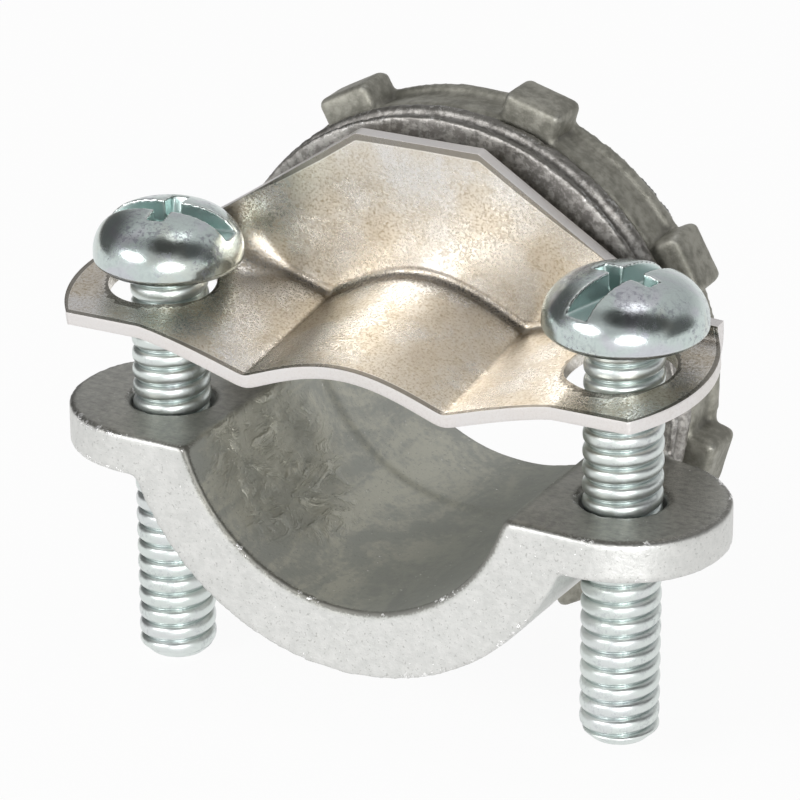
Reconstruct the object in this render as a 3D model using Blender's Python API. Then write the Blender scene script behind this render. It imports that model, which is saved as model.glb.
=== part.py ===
"""Two-screw cable connector for a knockout in an electrical box, three-quarter inch size.

A cast zinc body carries the cable in an open trough and goes through the box wall with
its threaded neck. A locknut clamps the wall against the body's flange. Two machine
screws, tapped into the body's ears, pull a stamped steel strap down on the cable.

Frame: the origin lies on the bore's axis in the plane of the flange's seat. The neck
points along +Y, the screws along Z, and X runs from the left ear to the right ear.
"""

import math

import bmesh
import bpy
from mathutils import Matrix, Vector

MM = 0.001

# Cast body
BORE_RADIUS = 10.9 * MM
TROUGH_WALL = 4.25 * MM
EAR_DROP = 2.95 * MM
EAR_THICKNESS = 2.6 * MM
EAR_SINK = 0.15 * MM
SCREW_OUTSIDE_BORE = 4.2 * MM
SCREW_FORWARD = 0.15 * MM
CAST_ROUND = 0.3 * MM

# Ribbed collar, whose rear face seats on the box wall
COLLAR_WIDTH = 1.9 * MM
FLANGE_LIP = 0.45 * MM
RIB_LIP = 0.25 * MM
GROOVE_DEPTH = 0.75 * MM

# Neck with its thread's outside size, and the step in the bore where two cores meet
NECK_WALL = 2.05 * MM
NECK_LENGTH = 9.2 * MM
NECK_CHAMFER = 1.1 * MM
THROAT_STEP = 0.1 * MM
THROAT_DEPTH = 1.4 * MM

# Number 10 machine screws, one inch long
SCREW_RADIUS = 2.35 * MM
SCREW_LENGTH = 25.4 * MM
SCREW_TIP_CHAMFER = 0.6 * MM
HEAD_RADIUS = 4.6 * MM
HEAD_HEIGHT = 3.55 * MM
HEAD_RIM = 1.5 * MM
HEAD_FULLNESS = 0.7
SLOT_WIDTH = 1.35 * MM
SLOT_DEPTH = 1.35 * MM
CROSS_REACH = 2.6 * MM
CROSS_DEPTH = 2.3 * MM
CROSS_TAPER = 0.5
TAP_CLEARANCE = 0.25 * MM
LEFT_HEAD_GAP = 1.2 * MM
RIGHT_HEAD_GAP = 2.4 * MM
LEFT_SLOT_DEG = 21.0
RIGHT_SLOT_DEG = 76.0

# Stamped strap. Its own x runs across, y towards the neck, from the holes' midpoint.
STRAP_THICKNESS = 0.8 * MM
STRAP_RISE = 7.78 * MM
STRAP_SHIFT = -0.44 * MM
STRAP_PITCH_DEG = 6.5
STRAP_ROLL_DEG = -0.72
STRAP_YAW_DEG = 0.77
STRAP_CLEARANCE = 0.3 * MM
STRAP_FRONT_MARGIN = 1.14 * MM
STRAP_END_MARGIN = 5.35 * MM
STRAP_END_SWELL = 3.06 * MM
STRAP_HOLE_CLEARANCE = 0.9 * MM
HEAD_WALL_GAP = 0.45 * MM
VALLEY_INSIDE_BORE = 4.4 * MM
VALLEY_DEPTH = 2.0 * MM
VALLEY_ROUND = 0.35 * MM
VALLEY_FALL = 1.25
FLAT_BEFORE_SCREW = 1.6 * MM
CREST_FRONT = -0.25 * MM
CREST_BACK = 0.42 * MM
WALL_HEIGHT = 9.1 * MM
WALL_TOP_WIDTH = 8.1 * MM
WALL_SLOPE = 0.7
WALL_END_HEIGHT = 0.55 * MM
WALL_END_EASE = 1.0 * MM
WALL_BEND = 0.8 * MM
WALL_SIDE_BEND = 3.0 * MM
WIDE_BEND_INSIDE_FLAT = 1.2 * MM
WIDE_BEND_SPAN = 3.6 * MM

# Cast locknut
NUT_GAP = 0.35 * MM
NUT_THICKNESS = 3.1 * MM
NUT_WALL = 2.15 * MM
NUT_RIM_LIP = 0.3 * MM
NUT_RIM_WIDTH = 0.6 * MM
NUT_CLEARANCE = 0.3 * MM
LUG_COUNT = 8
LUG_PHASE_DEG = 29.2
LUG_REACH = 1.6 * MM
LUG_WIDTH = 3.75 * MM
LUG_ROUND = 0.45 * MM
LUG_PROUD = 0.05 * MM

ROUND_STEPS = 80
SCREW_STEPS = 32

# Sizes and places that follow from the ones above. The screw's head sets the strap's
# depth, and the strap with its clearance sets the ears.
TROUGH_RADIUS = BORE_RADIUS + TROUGH_WALL
FLANGE_RADIUS = TROUGH_RADIUS + FLANGE_LIP
NECK_RADIUS = BORE_RADIUS + NECK_WALL
NUT_RADIUS = NECK_RADIUS + NUT_CLEARANCE + NUT_WALL
STRAP_FRONT = HEAD_RADIUS + STRAP_FRONT_MARGIN
STRAP_BACK = HEAD_RADIUS + HEAD_WALL_GAP
EAR_RADIUS = STRAP_BACK + STRAP_THICKNESS + STRAP_CLEARANCE + EAR_SINK
EAR_Y = EAR_SINK - COLLAR_WIDTH - EAR_RADIUS
BODY_FRONT = EAR_Y - EAR_RADIUS
SCREW_X = BORE_RADIUS + SCREW_OUTSIDE_BORE
SCREW_Y = EAR_Y - SCREW_FORWARD
EAR_TOP = -EAR_DROP
STRAP_Z = EAR_TOP + STRAP_RISE
STRAP_REACH = SCREW_X + STRAP_END_MARGIN
STRAP_END_RADIUS = STRAP_FRONT + STRAP_END_SWELL
VALLEY_X = BORE_RADIUS - VALLEY_INSIDE_BORE
FLAT_X = SCREW_X - FLAT_BEFORE_SCREW
WIDEST_BEND_X = FLAT_X - WIDE_BEND_INSIDE_FLAT
WALL_TOP_X = WALL_TOP_WIDTH / 2


def clear_scene():
    for thing in list(bpy.data.objects):
        bpy.data.objects.remove(thing, do_unlink=True)


def material(name, color, roughness, metallic):
    """A Principled material with one colour."""
    made = bpy.data.materials.new(name)
    made.use_nodes = True
    shader = made.node_tree.nodes["Principled BSDF"]
    shader.inputs["Base Color"].default_value = (*color, 1.0)
    shader.inputs["Roughness"].default_value = roughness
    shader.inputs["Metallic"].default_value = metallic
    return made


def object_from(name, bm, finish=None, location=(0, 0, 0), closed=True):
    """Links a new object that holds the bmesh; a closed shape's faces are turned outwards."""
    if closed:
        bmesh.ops.recalc_face_normals(bm, faces=bm.faces)
    mesh = bpy.data.meshes.new(name)
    bm.to_mesh(mesh)
    bm.free()
    made = bpy.data.objects.new(name, mesh)
    made.location = location
    bpy.context.scene.collection.objects.link(made)
    if finish:
        mesh.materials.append(finish)
    mesh.shade_smooth()
    mesh.set_sharp_from_angle(angle=math.radians(35))
    return made


def helper(name, bm, location=(0, 0, 0)):
    """An object that only cuts, joins or limits another, and isn't part of the model."""
    made = object_from(name, bm, location=location)
    made.hide_render = True
    made.display_type = "WIRE"
    return made


def combine(target, other, operation):
    step = target.modifiers.new(f"{operation.lower()} {other.name}", "BOOLEAN")
    step.operation = operation
    step.solver = "EXACT"
    step.object = other


def prism(outline, axis, low, high):
    """A bmesh of a flat outline pushed along Y or Z, from low to high."""
    bm = bmesh.new()
    if axis == "Y":
        ring = [bm.verts.new((across, low, up)) for across, up in outline]
        push = Vector((0, high - low, 0))
    else:
        ring = [bm.verts.new((across, along, low)) for across, along in outline]
        push = Vector((0, 0, high - low))
    face = bm.faces.new(ring)
    grown = bmesh.ops.extrude_face_region(bm, geom=[face])["geom"]
    moved = [part for part in grown if isinstance(part, bmesh.types.BMVert)]
    bmesh.ops.translate(bm, verts=moved, vec=push)
    return bm


def turned(profile, axis, steps=ROUND_STEPS):
    """A bmesh of a solid of revolution; the profile lists (radius, place along the axis)."""
    bm = bmesh.new()
    line = [bm.verts.new((radius, 0, along)) for radius, along in profile]
    edges = [bm.edges.new(pair) for pair in zip(line, line[1:])]
    if profile[0][0] > 0:
        edges.append(bm.edges.new((line[-1], line[0])))
    bmesh.ops.spin(
        bm, geom=line + edges, cent=(0, 0, 0), axis=(0, 0, 1),
        angle=math.tau, steps=steps, use_merge=True,
    )
    bmesh.ops.remove_doubles(bm, verts=bm.verts, dist=1e-6)
    if axis == "Y":
        quarter = Matrix.Rotation(-math.pi / 2, 3, "X")
        bmesh.ops.rotate(bm, verts=bm.verts, matrix=quarter)
    return bm


def arc(center, radius, start_deg, end_deg, steps):
    """Points on an arc, both ends included, in the plane's own two coordinates."""
    points = []
    for step in range(steps + 1):
        angle = math.radians(start_deg + (end_deg - start_deg) * step / steps)
        across = center[0] + radius * math.cos(angle)
        up = center[1] + radius * math.sin(angle)
        points.append((across, up))
    return points


def trough_section():
    """Front view of trough and ears, still without the bore."""
    ear_end = SCREW_X + EAR_RADIUS
    ear_bottom = EAR_TOP - EAR_THICKNESS
    dip = math.degrees(math.asin(-ear_bottom / TROUGH_RADIUS))
    under = arc((0, 0), TROUGH_RADIUS, 180 + dip, 360 - dip, ROUND_STEPS // 2)
    left_end = [(-ear_end, EAR_TOP), (-ear_end, ear_bottom)]
    right_end = [(ear_end, ear_bottom), (ear_end, EAR_TOP)]
    return left_end + under + right_end


def ear_plan():
    """Top view of both ears: straight front and rear edges with a round end each."""
    steps = ROUND_STEPS // 4
    right = arc((SCREW_X, EAR_Y), EAR_RADIUS, -90, 90, steps)
    left = arc((-SCREW_X, EAR_Y), EAR_RADIUS, 90, 270, steps)
    return right + left


def collar_and_neck_profile():
    """Outer side of the ribbed collar, the seat and the neck, from front to rear.

    The collar's front rib, groove and flange are placed in sixths of its width.
    """
    rib = TROUGH_RADIUS + RIB_LIP
    groove = TROUGH_RADIUS - GROOVE_DEPTH
    sixth = COLLAR_WIDTH / 6
    front = -COLLAR_WIDTH
    return [
        (0, front),
        (rib - 0.35 * sixth, front),
        (rib, front + 0.35 * sixth),
        (rib, front + 1.2 * sixth),
        (groove, front + 2.1 * sixth),
        (groove, front + 2.5 * sixth),
        (FLANGE_RADIUS - 0.3 * sixth, front + 3.4 * sixth),
        (FLANGE_RADIUS, front + 4.1 * sixth),
        (FLANGE_RADIUS, front + 5.3 * sixth),
        (FLANGE_RADIUS - 0.7 * sixth, 0),
        (NECK_RADIUS, 0),
        (NECK_RADIUS, NECK_LENGTH - NECK_CHAMFER),
        (NECK_RADIUS - NECK_CHAMFER, NECK_LENGTH),
        (0, NECK_LENGTH),
    ]


def bore_profile():
    """The cable's way through the body, a little narrower from the throat on."""
    past_front = BODY_FRONT - COLLAR_WIDTH
    past_rear = NECK_LENGTH + COLLAR_WIDTH
    throat = BORE_RADIUS - THROAT_STEP
    return [
        (0, past_front),
        (BORE_RADIUS, past_front),
        (BORE_RADIUS, THROAT_DEPTH),
        (throat, THROAT_DEPTH + THROAT_STEP),
        (throat, past_rear),
        (0, past_rear),
    ]


def build_body():
    """One zinc casting: trough, ears, collar and neck, bored through and drilled."""
    zinc = material("cast_zinc", (0.55, 0.55, 0.54), 0.5, 0.9)
    beyond = EAR_RADIUS
    section = prism(trough_section(), "Y", BODY_FRONT - beyond, beyond)
    body = object_from("connector_body", section, zinc)
    plan = prism(ear_plan(), "Z", -TROUGH_RADIUS - beyond, EAR_TOP + beyond)
    combine(body, helper("ear_plan_limit", plan), "INTERSECT")
    collar = turned(collar_and_neck_profile(), "Y")
    combine(body, helper("collar_and_neck", collar), "UNION")
    combine(body, helper("bore_cutter", turned(bore_profile(), "Y")), "DIFFERENCE")
    hole = SCREW_RADIUS + TAP_CLEARANCE
    drop = TROUGH_RADIUS + beyond
    for side, x in (("left", -SCREW_X), ("right", SCREW_X)):
        drill = turned([(0, beyond), (hole, beyond), (hole, -drop), (0, -drop)], "Z", SCREW_STEPS)
        cutter = helper(f"{side}_tap_drill", drill, (x, SCREW_Y, 0))
        combine(body, cutter, "DIFFERENCE")
    return body


def valley_line(x, share_back):
    """Height of the strap's W section at x; share_back is 0 at the front edge, 1 at the wall."""
    away = abs(x)
    crest = CREST_FRONT + (CREST_BACK - CREST_FRONT) * share_back
    outer = -VALLEY_DEPTH * (max(0.0, FLAT_X - away) / (FLAT_X - VALLEY_X)) ** VALLEY_FALL
    inner = crest - (VALLEY_DEPTH + crest) * (1 - math.cos(math.pi / 2 * away / VALLEY_X))
    # The higher of the two slopes, with the valley between them rounded.
    return (outer + inner + math.hypot(outer - inner, VALLEY_ROUND)) / 2


def ease(part):
    part = min(1.0, max(0.0, part))
    return part * part * (3 - 2 * part)


def bend_radius(x):
    """Inside bend from floor to wall: tight along crest and slopes, wide where the wall runs out."""
    from_widest = abs(abs(x) - WIDEST_BEND_X) / WIDE_BEND_SPAN
    return WALL_BEND + (WALL_SIDE_BEND - WALL_BEND) * ease(1 - from_widest)


def end_reach(y):
    """Half the strap's length at y, where its ends are arcs."""
    return STRAP_REACH - STRAP_END_RADIUS + math.sqrt(STRAP_END_RADIUS**2 - y**2)


def stretched(x, y):
    """A column keeps its x over the valleys, and past them it follows the round ends."""
    if abs(x) <= FLAT_X:
        return x
    past = (abs(x) - FLAT_X) / (end_reach(STRAP_BACK) - FLAT_X)
    return math.copysign(FLAT_X + past * (end_reach(y) - FLAT_X), x)


def wall_edge(x):
    """Height of the wall's top at x: level in the middle, then sloping down to the ears."""
    slope = WALL_HEIGHT - WALL_SLOPE * max(0.0, abs(x) - WALL_TOP_X)
    over_end = slope - WALL_END_HEIGHT
    return (slope + WALL_END_HEIGHT + math.hypot(over_end, WALL_END_EASE)) / 2


def strap_point(x, row):
    """A point of the strap's upper side, on the column that meets the wall at x.

    Rows 0 to 1 cross the floor from its front edge, 1 to 2 go round the bend, and
    2 to 3 climb the wall. Where the wall's edge is lower than the bend, the bend ends early.
    """
    bend = bend_radius(x)
    floor_end = STRAP_BACK - bend
    foot = valley_line(x, 1.0)
    if row <= 1:
        y = -STRAP_FRONT + (floor_end + STRAP_FRONT) * row
        return stretched(x, y), y, valley_line(x, row)
    top = wall_edge(x)
    full_turn = math.acos(max(0.0, 1 - max(0.0, top - foot) / bend))
    angle = full_turn * min(1.0, row - 1)
    y = floor_end + bend * math.sin(angle)
    z = foot + bend * (1 - math.cos(angle))
    return stretched(x, y), y, z + max(0.0, top - z) * max(0.0, row - 2)


def strap_columns():
    """Where the columns meet the wall: closest over the valleys, mirrored about the middle."""
    crest = [WALL_TOP_X * step / 4 for step in range(1, 5)]
    inner = [WALL_TOP_X + (VALLEY_X - WALL_TOP_X) * step / 4 for step in range(1, 5)]
    slope = [VALLEY_X + (FLAT_X - VALLEY_X) * step / 8 for step in range(1, 9)]
    reach = end_reach(STRAP_BACK)
    ends = [FLAT_X + (reach - FLAT_X) * step / 7 for step in range(1, 8)]
    right = crest + inner + slope + ends
    return [-x for x in reversed(right)] + [0.0] + right


def build_strap():
    """Steel strap stamped from one sheet: W floor, flat ears and an upturned wall."""
    steel = material("strap_steel", (0.80, 0.77, 0.72), 0.3, 1.0)
    columns = strap_columns()
    rows = [step / 5 for step in range(6)] + [1 + step / 5 for step in range(1, 6)]
    rows += [2 + step / 4 for step in range(1, 5)]
    across = len(columns) - 1
    along = len(rows) - 1
    bm = bmesh.new()
    bmesh.ops.create_grid(bm, x_segments=across, y_segments=along, size=0.5)
    for vert in bm.verts:
        column = columns[round((vert.co.x + 0.5) * across)]
        row = rows[round((vert.co.y + 0.5) * along)]
        vert.co = strap_point(column, row)
    place = (STRAP_SHIFT, EAR_Y, STRAP_Z)
    strap = object_from("clamp_strap", bm, steel, place, closed=False)
    lean = (STRAP_PITCH_DEG, STRAP_ROLL_DEG, STRAP_YAW_DEG)
    strap.rotation_euler = [math.radians(angle) for angle in lean]
    sheet = strap.modifiers.new("sheet thickness", "SOLIDIFY")
    sheet.thickness = STRAP_THICKNESS
    sheet.offset = -1
    sheet.use_even_offset = True
    hole = SCREW_RADIUS + STRAP_HOLE_CLEARANCE
    reach = WALL_HEIGHT
    for side, x in (("left", -SCREW_X), ("right", SCREW_X)):
        punch = turned([(0, reach), (hole, reach), (hole, -reach), (0, -reach)], "Z", SCREW_STEPS)
        cutter = helper(f"{side}_strap_punch", punch)
        cutter.parent = strap
        cutter.location = (x, 0, 0)
        combine(strap, cutter, "DIFFERENCE")
    return strap


def screw_profile():
    """Half section of a pan-head screw, from its tip up, with z = 0 under the head."""
    shank = [
        (0, -SCREW_LENGTH),
        (SCREW_RADIUS - SCREW_TIP_CHAMFER, -SCREW_LENGTH),
        (SCREW_RADIUS, -SCREW_LENGTH + SCREW_TIP_CHAMFER),
        (SCREW_RADIUS, 0),
    ]
    under_round = HEAD_RIM / 4
    rim = [(HEAD_RADIUS - under_round, 0), (HEAD_RADIUS, under_round)]
    crown = []
    steps = 8
    for step in range(1, steps + 1):
        angle = math.pi / 2 * step / steps
        radius = HEAD_RADIUS * math.cos(angle) ** HEAD_FULLNESS if step < steps else 0
        rise = HEAD_HEIGHT - HEAD_RIM / 2
        crown.append((radius, HEAD_RIM / 2 + rise * math.sin(angle)))
    return shank + rim + crown


def wedge_arm(turn_deg):
    """One arm of the cross recess, narrow at its foot."""
    bm = bmesh.new()
    bmesh.ops.create_cube(bm, size=1)
    bmesh.ops.scale(bm, verts=bm.verts, vec=(2 * CROSS_REACH, SLOT_WIDTH, 2 * CROSS_DEPTH))
    foot = [vert for vert in bm.verts if vert.co.z < 0]
    bmesh.ops.scale(bm, verts=foot, vec=(CROSS_TAPER, CROSS_TAPER, 1))
    turn = Matrix.Rotation(math.radians(turn_deg), 3, "Z")
    bmesh.ops.rotate(bm, verts=bm.verts, matrix=turn)
    return bm


def build_screw(name, side, head_gap, slot_deg):
    """A pan-head screw with a slot across its head and a cross in the slot's middle."""
    plated = material(f"{name}_zinc", (0.75, 0.79, 0.79), 0.15, 1.0)
    x = side * SCREW_X
    strap_top = STRAP_Z - x * math.sin(math.radians(STRAP_ROLL_DEG))
    under_head = strap_top + head_gap
    body = turned(screw_profile(), "Z", SCREW_STEPS)
    screw = object_from(name, body, plated, (x, SCREW_Y, under_head))
    slot = bmesh.new()
    bmesh.ops.create_cube(slot, size=1)
    bmesh.ops.scale(slot, verts=slot.verts, vec=(3 * HEAD_RADIUS, SLOT_WIDTH, 2 * SLOT_DEPTH))
    turn = Matrix.Rotation(math.radians(slot_deg), 3, "Z")
    bmesh.ops.rotate(slot, verts=slot.verts, matrix=turn)
    cuts = (("slot", slot), ("cross_a", wedge_arm(slot_deg)), ("cross_b", wedge_arm(slot_deg + 90)))
    for label, shape in cuts:
        cutter = helper(f"{name}_{label}", shape)
        cutter.parent = screw
        cutter.location = (0, 0, HEAD_HEIGHT)
        combine(screw, cutter, "DIFFERENCE")
    return screw


def locknut_profile():
    """Ring section: chamfered at the front, with a thin raised rim at the rear."""
    inner = NECK_RADIUS + NUT_CLEARANCE
    rim = NUT_RADIUS + NUT_RIM_LIP
    step = NUT_THICKNESS - NUT_RIM_WIDTH
    return [
        (inner, 0),
        (NUT_RADIUS - CAST_ROUND, 0),
        (NUT_RADIUS, CAST_ROUND),
        (NUT_RADIUS, step - NUT_RIM_LIP),
        (rim, step),
        (rim, NUT_THICKNESS),
        (inner, NUT_THICKNESS),
    ]


def lug_blocks():
    """The ring of lugs, as separate rounded blocks that sink into the nut's ring."""
    bm = bmesh.new()
    low = NUT_RADIUS - NUT_WALL / 2
    high = NUT_RADIUS + LUG_REACH
    for lug in range(LUG_COUNT):
        block = bmesh.new()
        bmesh.ops.create_cube(block, size=1)
        bmesh.ops.scale(block, verts=block.verts, vec=(high - low, NUT_THICKNESS, LUG_WIDTH))
        bmesh.ops.bevel(
            block, geom=list(block.edges), offset=LUG_ROUND, segments=2, profile=0.5,
            affect="EDGES", material=-1,
        )
        middle = ((low + high) / 2, NUT_THICKNESS / 2 - LUG_PROUD, 0)
        bmesh.ops.translate(block, verts=block.verts, vec=middle)
        angle = math.radians(LUG_PHASE_DEG) + math.tau * lug / LUG_COUNT
        bmesh.ops.rotate(block, verts=block.verts, matrix=Matrix.Rotation(-angle, 3, "Y"))
        copy = bpy.data.meshes.new("lug")
        block.to_mesh(copy)
        block.free()
        bm.from_mesh(copy)
        bpy.data.meshes.remove(copy)
    return bm


def build_locknut():
    """Cast ring that turns on the neck's thread."""
    zinc = material("locknut_zinc", (0.46, 0.45, 0.42), 0.55, 0.9)
    nut = object_from("locknut", turned(locknut_profile(), "Y"), zinc, (0, NUT_GAP, 0))
    lugs = helper("locknut_lugs", lug_blocks())
    lugs.parent = nut
    combine(nut, lugs, "UNION")
    return nut


def main():
    clear_scene()
    build_body()
    build_strap()
    build_screw("left_screw", -1, LEFT_HEAD_GAP, LEFT_SLOT_DEG)
    build_screw("right_screw", 1, RIGHT_HEAD_GAP, RIGHT_SLOT_DEG)
    build_locknut()


main()
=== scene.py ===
# %% [markdown]
# # A two-screw cable connector, dressed for its portrait
#
# The object is a zinc casting that holds a cable where it enters an electrical box. Two
# machine screws pull a stamped steel strap down on the cable, and a cast locknut holds the
# casting in the knockout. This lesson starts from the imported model, which already has every
# size, and rebuilds each piece with the rounded edges, threads and finishes of the real one.

import math

import bmesh
import bpy
import numpy as np
from mathutils import Matrix, Vector, noise


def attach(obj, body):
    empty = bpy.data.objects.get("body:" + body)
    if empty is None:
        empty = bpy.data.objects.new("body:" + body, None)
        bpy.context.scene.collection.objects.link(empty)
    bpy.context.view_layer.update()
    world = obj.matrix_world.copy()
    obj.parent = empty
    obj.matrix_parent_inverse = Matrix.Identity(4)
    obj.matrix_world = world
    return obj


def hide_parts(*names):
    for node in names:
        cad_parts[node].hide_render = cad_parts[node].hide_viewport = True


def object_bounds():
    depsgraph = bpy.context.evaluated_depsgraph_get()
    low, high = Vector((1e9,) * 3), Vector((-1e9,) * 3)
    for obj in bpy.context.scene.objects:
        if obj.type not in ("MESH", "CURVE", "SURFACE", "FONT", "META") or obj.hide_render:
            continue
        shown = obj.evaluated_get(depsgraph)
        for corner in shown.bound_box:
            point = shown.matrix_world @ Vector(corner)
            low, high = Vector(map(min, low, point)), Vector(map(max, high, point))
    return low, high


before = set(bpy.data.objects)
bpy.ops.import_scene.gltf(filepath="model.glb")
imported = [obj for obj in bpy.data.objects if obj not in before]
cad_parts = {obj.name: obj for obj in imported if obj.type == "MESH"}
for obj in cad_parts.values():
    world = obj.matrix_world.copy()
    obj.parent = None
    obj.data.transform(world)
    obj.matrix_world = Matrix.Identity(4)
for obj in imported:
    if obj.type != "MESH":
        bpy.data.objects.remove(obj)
cad_low, cad_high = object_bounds()
MM = 0.001
print("box in mm:", [round((high - low) / MM, 2) for low, high in zip(cad_low, cad_high)])

# %% [markdown]
# ## Camera
#
# The camera comes first, because every later choice is judged through it. It was solved from
# the straight and round edges of the photograph: a long lens, a little from the right and
# from above. A camera is built here from three directions: the one it looks along, the one to
# its right and the one upwards. That also leaves room for the photograph's tiny roll.

# %% Camera
CAMERA_AZIMUTH = math.radians(29.153)
CAMERA_HEIGHT = math.radians(23.670)
CAMERA_ROLL = math.radians(-0.273)
CAMERA_DISTANCE = 281.32 * MM
CAMERA_TARGET = Vector((-1.516, -4.51, -1.751)) * MM
SENSOR_WIDTH = 36.0
FOCAL_LENGTH = 213.55


def linked(name, data):
    """Links a new object that shows the data, or is the lamp or camera that it describes."""
    made = bpy.data.objects.new(name, data)
    bpy.context.scene.collection.objects.link(made)
    return made


towards_eye = Vector((
    math.sin(CAMERA_AZIMUTH) * math.cos(CAMERA_HEIGHT),
    -math.cos(CAMERA_AZIMUTH) * math.cos(CAMERA_HEIGHT),
    math.sin(CAMERA_HEIGHT),
))
level_right = (-towards_eye).cross(Vector((0, 0, 1))).normalized()
level_up = level_right.cross(-towards_eye)
right = math.cos(CAMERA_ROLL) * level_right + math.sin(CAMERA_ROLL) * level_up
upwards = math.cos(CAMERA_ROLL) * level_up - math.sin(CAMERA_ROLL) * level_right
facing = Matrix((right, upwards, towards_eye)).transposed().to_4x4()

lens = bpy.data.cameras.new("portrait_camera")
lens.lens = FOCAL_LENGTH
lens.sensor_width = SENSOR_WIDTH
lens.clip_start = 10 * MM
camera = linked("portrait_camera", lens)
camera.matrix_world = Matrix.Translation(CAMERA_TARGET + CAMERA_DISTANCE * towards_eye) @ facing
bpy.context.scene.camera = camera
print("camera stands at", [round(value / MM, 1) for value in camera.location], "mm")

# %% [markdown]
# ## Writing shader maths as sums
#
# A material is a graph of nodes. Wiring it by hand hides the idea, so one small class wraps a
# socket and lets ordinary + - * / add the Math nodes, with numbers on either side. Any other
# node comes from one method, which sets the node's own settings first and then its inputs.


# %% A wire that can be added and multiplied
class Wire:
    """A value in a material's graph; an expression on wires adds Math nodes."""

    def __init__(self, finish, socket):
        self.finish = finish
        self.socket = socket

    def _math(self, operation, first, second):
        inputs = {0: first, 1: second}
        return self.finish.node("ShaderNodeMath", {"operation": operation}, inputs)

    def __add__(self, other):
        return self._math("ADD", self, other)

    def __radd__(self, other):
        return self._math("ADD", other, self)

    def __sub__(self, other):
        return self._math("SUBTRACT", self, other)

    def __rsub__(self, other):
        return self._math("SUBTRACT", other, self)

    def __mul__(self, other):
        return self._math("MULTIPLY", self, other)

    def __rmul__(self, other):
        return self._math("MULTIPLY", other, self)

    def __truediv__(self, other):
        return self._math("DIVIDE", self, other)

    def __rtruediv__(self, other):
        return self._math("DIVIDE", other, self)

    def clamped(self):
        return self.finish.node("ShaderNodeClamp", {}, {"Value": self})


# %% A material under construction
class Finish:
    """A node material: node() adds a node, and the other methods name common ones."""

    def __init__(self, name, stand_in):
        self.material = bpy.data.materials.new(name)
        self.material.use_nodes = True
        self.material.diffuse_color = (*stand_in, 1.0)
        self.tree = self.material.node_tree
        self.shader = self.tree.nodes["Principled BSDF"]

    def node(self, kind, settings=None, inputs=None, output=0):
        made = self.tree.nodes.new(kind)
        for name, value in (settings or {}).items():
            if name == "stops":
                self._set_ramp(made.color_ramp, value)
            else:
                setattr(made, name, value)
        for key, value in (inputs or {}).items():
            self.feed(made.inputs[key], value)
        return Wire(self, made.outputs[output])

    def feed(self, socket, value):
        if isinstance(value, Wire):
            self.tree.links.new(value.socket, socket)
        else:
            socket.default_value = value

    def _set_ramp(self, ramp, stops):
        while len(ramp.elements) < len(stops):
            ramp.elements.new(1.0)
        for element, (place, color) in zip(ramp.elements, stops):
            element.position = place
            element.color = (*color, 1.0)

    def places(self):
        """The point on the piece, in millimetres, so that noise scales read as per mm."""
        point = self.node("ShaderNodeTexCoord", output="Object")
        inputs = {0: point, "Scale": 1 / MM}
        return self.node("ShaderNodeVectorMath", {"operation": "SCALE"}, inputs)

    def along(self, point, axis):
        return self.node("ShaderNodeSeparateXYZ", {}, {0: point}, output=axis)

    def stretched(self, point, scale):
        return self.node("ShaderNodeMapping", {}, {"Vector": point, "Scale": scale})

    def cloud(self, point, per_mm, detail=4.0, roughness=0.55, distortion=0.0):
        inputs = {
            "Vector": point, "Scale": per_mm, "Detail": detail,
            "Roughness": roughness, "Distortion": distortion,
        }
        return self.node("ShaderNodeTexNoise", {}, inputs)

    def rise(self, value, low, high):
        """0 below low, 1 above high and a smooth step between."""
        settings = {"interpolation_type": "SMOOTHSTEP"}
        return self.node("ShaderNodeMapRange", settings, {0: value, 1: low, 2: high})

    def blend(self, share, first, second):
        """One colour at share 0, the other at share 1."""
        colors = {}
        for slot, color in ((6, first), (7, second)):
            colors[slot] = color if isinstance(color, Wire) else (*color, 1.0)
        return self.node("ShaderNodeMix", {"data_type": "RGBA"}, {0: share, **colors}, output=2)

    def mark(self, name):
        """A number that the mesh carries for each of its points."""
        return self.node("ShaderNodeAttribute", {"attribute_name": name}, output="Fac")

    def bump(self, height, depth, strength):
        inputs = {"Height": height, "Distance": depth, "Strength": strength}
        return self.node("ShaderNodeBump", {}, inputs)

    def close(self, **sockets):
        """Feeds the Principled shader: Base_Color means its Base Color socket."""
        for name, value in sockets.items():
            self.feed(self.shader.inputs[name.replace("_", " ")], value)
        print("finish", self.material.name, "has", len(self.tree.nodes), "nodes")
        return self.material


# %% [markdown]
# ## Studio
#
# A catalogue picture of metal is a picture of what the metal reflects. Here that is a white
# floor, two wide soft lamps low in front, a weak one above, and a tent out of view. Only
# reflections see the tent. It is pale at its foot and greyer above, with one bright panel in
# front, which draws the light stripe down each screw, and five darker patches, which give the
# heads and the ear tops their dark side. The floor is at the level of the lowest screw tip.
# Camera, glossy and transmitted rays see the room as plain white. All others see it at the
# lower ROOM_LIGHT, so the white background adds no light of its own.

# %% Room and floor
FLOOR_LEVEL = cad_low[2]
FLOOR_SIZE = 2.0
FLOOR_TONE = (0.9, 0.9, 0.895)
FLOOR_GLOW = 0.93
ROOM_LIGHT = 0.55
WHITE = (1.0, 1.0, 1.0, 1.0)


def mesh_from(name, bm):
    mesh = bpy.data.meshes.new(name)
    bm.to_mesh(mesh)
    bm.free()
    return mesh


def seen_directly(finish):
    """1 for rays that show the background: camera, glossy and transmitted ones."""
    seen = finish.node("ShaderNodeLightPath", output="Is Camera Ray")
    mirrored = finish.node("ShaderNodeLightPath", output="Is Glossy Ray")
    through = finish.node("ShaderNodeLightPath", output="Is Transmission Ray")
    return (seen + mirrored + through).clamped()


class RoomFinish(Finish):
    """The world has a node tree of its own, so only the start differs."""

    def __init__(self, name):
        self.material = bpy.data.worlds.new(name)
        self.material.use_nodes = True
        self.tree = self.material.node_tree
        self.shader = self.tree.nodes["Background"]


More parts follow.
